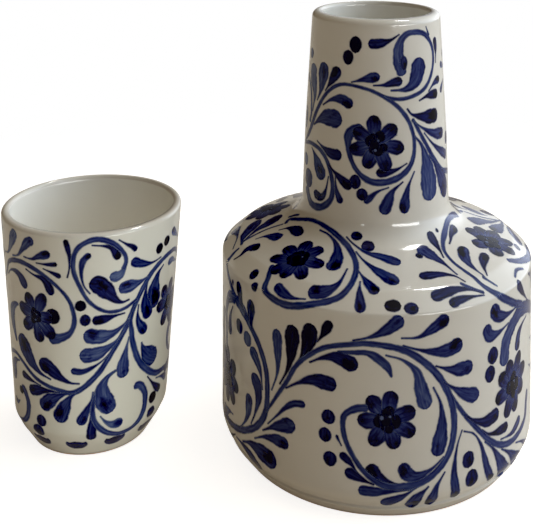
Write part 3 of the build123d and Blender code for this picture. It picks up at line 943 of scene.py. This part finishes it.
def cobalt(name):
    """Cobalt under the glaze: washed thin along the stroke, dark where it pools, soft at the edge."""
    material, tree = new_material(name)
    where, rough, normal = skin(tree)
    edge, across = attribute(tree, "edge"), attribute(tree, "across")
    along, ink = attribute(tree, "along"), attribute(tree, "ink")
    pool, seed = attribute(tree, "pool"), attribute(tree, "seed")
    brush = node(
        tree, "ShaderNodeCombineXYZ",
        {
            "X": math_node(tree, "MULTIPLY", along, 0.15),
            "Y": math_node(tree, "MULTIPLY", across, 1.0),
            "Z": math_node(tree, "MULTIPLY", seed, 37.0),
        },
    ).outputs[0]
    streaks = noise_node(tree, brush, 1.0, 2)
    cloud = math_node(tree, "SUBTRACT", noise_node(tree, where, 420, 3), 0.5)
    ragged = math_node(tree, "MULTIPLY_ADD", cloud, 0.7, edge)
    gathered = fade_node(tree, ragged, 0.55, 1.5, 1.0, 0.0)
    thinned = fade_node(tree, ragged, -0.30, 0.60, 0.75, 0.0)
    wet = fade_node(tree, math_node(tree, "MULTIPLY_ADD", cloud, 0.9, pool), 0.2, 0.8)
    amount = math_node(tree, "MULTIPLY_ADD", math_node(tree, "SUBTRACT", streaks, 0.5), 0.9, ink)
    amount = math_node(tree, "MULTIPLY_ADD", gathered, 0.18, amount)
    amount = math_node(tree, "SUBTRACT", amount, thinned)
    amount = math_node(tree, "MULTIPLY_ADD", wet, 0.65, amount, clamp=True)
    ramp = node(tree, "ShaderNodeValToRGB", {"Fac": amount})
    stops = (
        (0.0, (0.110, 0.140, 0.250)),
        (0.3, (0.034, 0.050, 0.160)),
        (0.6, (0.006, 0.009, 0.080)),
        (0.85, (0.002, 0.002, 0.022)),
        (1.0, (0.001, 0.001, 0.003)),
    )
    while len(ramp.color_ramp.elements) < len(stops):
        ramp.color_ramp.elements.new(0.5)
    for element, (position, colour) in zip(ramp.color_ramp.elements, stops):
        element.position = position
        element.color = (*colour, 1)
    surface = {"Base Color": ramp.outputs[0], "Roughness": rough, "Normal": normal, "IOR": 1.5}
    shader = node(tree, "ShaderNodeBsdfPrincipled", {**surface, "Specular IOR Level": 0.22})
    solid = fade_node(tree, math_node(tree, "MULTIPLY_ADD", cloud, 0.3, edge), -0.45, 0.36)
    clear = node(tree, "ShaderNodeBsdfTransparent")
    mixed = node(tree, "ShaderNodeMixShader", {0: solid, 1: clear.outputs[0], 2: shader.outputs[0]})
    node(tree, "ShaderNodeOutputMaterial", {"Surface": mixed.outputs[0]})
    return material


# ---------------------------------------------------------------- the two pots

carafe = Pot("carafe", CARAFE_OUTSIDE, CARAFE_INSIDE)
tumbler = Pot("tumbler", TUMBLER_OUTSIDE, TUMBLER_INSIDE)

for pot, skin_name, lip_tan in ((carafe, "carafe_glaze", 0.0), (tumbler, "tumbler_glaze", 0.15)):
    body = pot.lathe(pot.node + "_body")
    body.data.materials.append(glaze(skin_name, pot, lip_tan))
    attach(body, pot.node)
    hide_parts(pot.node)

blue = cobalt("cobalt")
for name, pot, zones in (
    ("carafe_painting_neck", carafe, (paint_neck,)),
    ("carafe_painting_shoulder", carafe, (paint_shoulder,)),
    ("carafe_painting_wall", carafe, (paint_wall_left, paint_wall_right, paint_wall_side)),
    ("tumbler_painting", tumbler, (paint_tumbler,)),
):
    painting = Painting(pot)
    for zone in zones:
        zone(painting)
        zone(Turned(painting, 180))
    if pot is tumbler:
        paint_tumbler_foot(painting)
    painting.build(name, blue)

# ---------------------------------------------------------------- floor, light and camera


def make_floor():
    """A pale floor. To the camera it glows, keeps a soft shadow near the pots and runs out to white."""
    mesh = bpy.data.meshes.new("floor")
    size = 6.0
    corners = [(-size, -size, 0), (size, -size, 0), (size, size, 0), (-size, size, 0)]
    mesh.from_pydata(corners, [], [(0, 1, 2, 3)])
    material, tree = new_material("floor_paper")
    where = node(tree, "ShaderNodeTexCoord").outputs["Object"]
    grain = noise_node(tree, where, 3, 2)
    tone = mix_node(tree, grain, (0.58, 0.52, 0.44), (0.64, 0.58, 0.49))
    matt = {"Base Color": tone, "Roughness": 0.9}
    warm = {"Emission Color": (1.0, 0.86, 0.66, 1), "Emission Strength": 0.08}
    paper = node(tree, "ShaderNodeBsdfPrincipled", {**matt, **warm})
    white = {"Emission Color": (1, 1, 1, 1), "Emission Strength": 0.84}
    near = node(tree, "ShaderNodeBsdfPrincipled", {**matt, **white})
    far = node(tree, "ShaderNodeEmission", {"Color": (1, 1, 1, 1), "Strength": 1.0})
    distance = node(tree, "ShaderNodeVectorMath", {0: where}, operation="LENGTH").outputs["Value"]
    seen_near = node(
        tree, "ShaderNodeMixShader",
        {0: fade_node(tree, distance, 0.25, 0.6), 1: near.outputs[0], 2: far.outputs[0]},
    )
    seen = node(tree, "ShaderNodeLightPath").outputs["Is Camera Ray"]
    mixed = node(tree, "ShaderNodeMixShader", {0: seen, 1: paper.outputs[0], 2: seen_near.outputs[0]})
    node(tree, "ShaderNodeOutputMaterial", {"Surface": mixed.outputs[0]})
    mesh.materials.append(material)
    floor = bpy.data.objects.new("floor", mesh)
    bpy.context.scene.collection.objects.link(floor)
    floor.location.z = -0.0002


def toward(azimuth, elevation):
    """The direction of a light. Azimuth 0 is the front, 90 the viewer's right, 180 the back."""
    a, e = math.radians(azimuth), math.radians(elevation)
    return Vector((math.sin(a) * math.cos(e), -math.cos(a) * math.cos(e), math.sin(e)))


# The room's broad soft lights: (azimuth, elevation, colour). Each fades out over about 50 degrees.
ROOM_LIGHTS = (
    (0, 90, (0.62, 0.52, 0.34)),
    (90, 0, (0.80, 1.12, 1.62)),
    (90, 42, (1.86, 2.08, 2.30)),
    (135, 0, (2.9, 3.1, 3.4)),
)
ROOM_SHADE = (0.034, 0.021, 0.009)


def make_surroundings():
    """A room lit from the right and the back, dim and warm on the left, and white to the camera."""
    world = bpy.data.worlds.new("room")
    bpy.context.scene.world = world
    world.use_nodes = True
    tree = world.node_tree
    tree.nodes.clear()
    where = node(tree, "ShaderNodeTexCoord").outputs["Generated"]
    total = node(tree, "ShaderNodeRGB").outputs[0]
    total.default_value = (*ROOM_SHADE, 1)
    for azimuth, elevation, colour in ROOM_LIGHTS:
        inputs = {0: where, 1: toward(azimuth, elevation)}
        facing = node(tree, "ShaderNodeVectorMath", inputs, operation="DOT_PRODUCT").outputs["Value"]
        glow = math_node(tree, "POWER", math_node(tree, "MAXIMUM", facing, 0.0), 6.0)
        light = node(tree, "ShaderNodeVectorMath", {0: colour, "Scale": glow}, operation="SCALE").outputs[0]
        total = node(tree, "ShaderNodeVectorMath", {0: total, 1: light}, operation="ADD").outputs[0]
    room = node(tree, "ShaderNodeBackground", {"Color": total, "Strength": 1.0})
    white = node(tree, "ShaderNodeBackground", {"Color": (1, 1, 1, 1), "Strength": 1.0})
    seen = node(tree, "ShaderNodeLightPath").outputs["Is Camera Ray"]
    mixed = node(tree, "ShaderNodeMixShader", {0: seen, 1: room.outputs[0], 2: white.outputs[0]})
    node(tree, "ShaderNodeOutputWorld", {"Surface": mixed.outputs[0]})


def area_lamp(name, spot, target, wide, tall, power):
    """A rectangular lamp that stands at spot and shines at target."""
    data = bpy.data.lights.new(name, "AREA")
    data.shape = "RECTANGLE"
    data.size, data.size_y = wide, tall
    data.energy = power
    lamp = bpy.data.objects.new(name, data)
    bpy.context.scene.collection.objects.link(lamp)
    lamp.location = spot
    lamp.rotation_mode = "QUATERNION"
    lamp.rotation_quaternion = (spot - target).to_track_quat("Z", "Y")
    return lamp


def softbox(name, azimuth, elevation, distance, wide, tall, power):
    """A lamp aimed at the middle of the carafe, seen only as a shine in the glaze."""
    middle = Vector((0, 0, 0.1))
    spot = middle + toward(azimuth, elevation) * distance
    lamp = area_lamp(name, spot, middle, wide, tall, power)
    lamp.visible_diffuse = False


def bounce_card(name, offset, height, wide, tall, power):
    """Cool light thrown back on to the tumbler by what stands near it. It lights nothing else.

    It stands at offset from the tumbler's foot and shines at a point that high up the tumbler."""
    foot = Vector(tumbler.centre)
    lamp = area_lamp(name, foot + Vector(offset), foot + Vector((0, 0, height)), wide, tall, power)
    lamp.data.color = (0.86, 1.0, 0.98)
    lamp.visible_glossy = False
    lamp.visible_camera = False
    receivers = bpy.data.collections.new(name + "_receivers")
    for thing in bpy.context.scene.objects:
        if thing.type == "MESH" and thing.name.startswith("tumbler_"):
            receivers.objects.link(thing)
    lamp.light_linking.receiver_collection = receivers


def make_camera():
    """The camera stands level in front and above; the frame is cut from low in a larger picture."""
    data = bpy.data.cameras.new("camera")
    camera = bpy.data.objects.new("camera", data)
    bpy.context.scene.collection.objects.link(camera)
    distance, height = 0.5120, 0.2916
    turn, tip, roll = math.radians(4.70), math.radians(90.162), math.radians(0.28)
    camera.location = (0, -distance, height)
    look = Matrix.Rotation(turn, 4, "Z") @ Matrix.Rotation(tip, 4, "X") @ Matrix.Rotation(roll, 4, "Z")
    camera.rotation_mode = "QUATERNION"
    camera.rotation_quaternion = look.to_quaternion()
    data.sensor_width = 36
    data.lens = 68.15
    data.clip_start, data.clip_end = 0.01, 50
    # The shift belongs to this standpoint alone: a driver drops it as soon as the camera stands elsewhere.
    for channel, amount in (("shift_x", -0.0515), ("shift_y", -0.7824)):
        driver = data.driver_add(channel).driver
        driver.type = "SCRIPTED"
        for axis in ("X", "Y"):
            variable = driver.variables.new()
            variable.name = axis.lower()
            variable.type = "TRANSFORMS"
            variable.targets[0].id = camera
            variable.targets[0].transform_type = "LOC_" + axis
        driver.expression = f"{amount} if abs(x) + abs(y + {distance}) < 0.001 else 0"
    bpy.context.scene.camera = camera


make_floor()
make_surroundings()
softbox("window", 48, 6, 5.0, 3.9, 0.75, 140)
softbox("skylight", 130, 65, 1.5, 0.36, 0.2, 11)
softbox("glint", -18, 7, 2.0, 0.12, 0.12, 0.6)
bounce_card("carafe_glow", (0.1433, -0.122, 0.050), 0.055, 0.06, 0.12, 0.062)
bounce_card("table_glow", (0.0233, -0.122, 0.012), 0.020, 0.16, 0.02, 0.016)
make_camera()

# The camera's tones: plain, with the darkest shades sunk to black.
view = bpy.context.scene.view_settings
view.view_transform = "Standard"
view.use_curve_mapping = True
view.curve_mapping.black_level = (0.007, 0.007, 0.004)
view.curve_mapping.update()
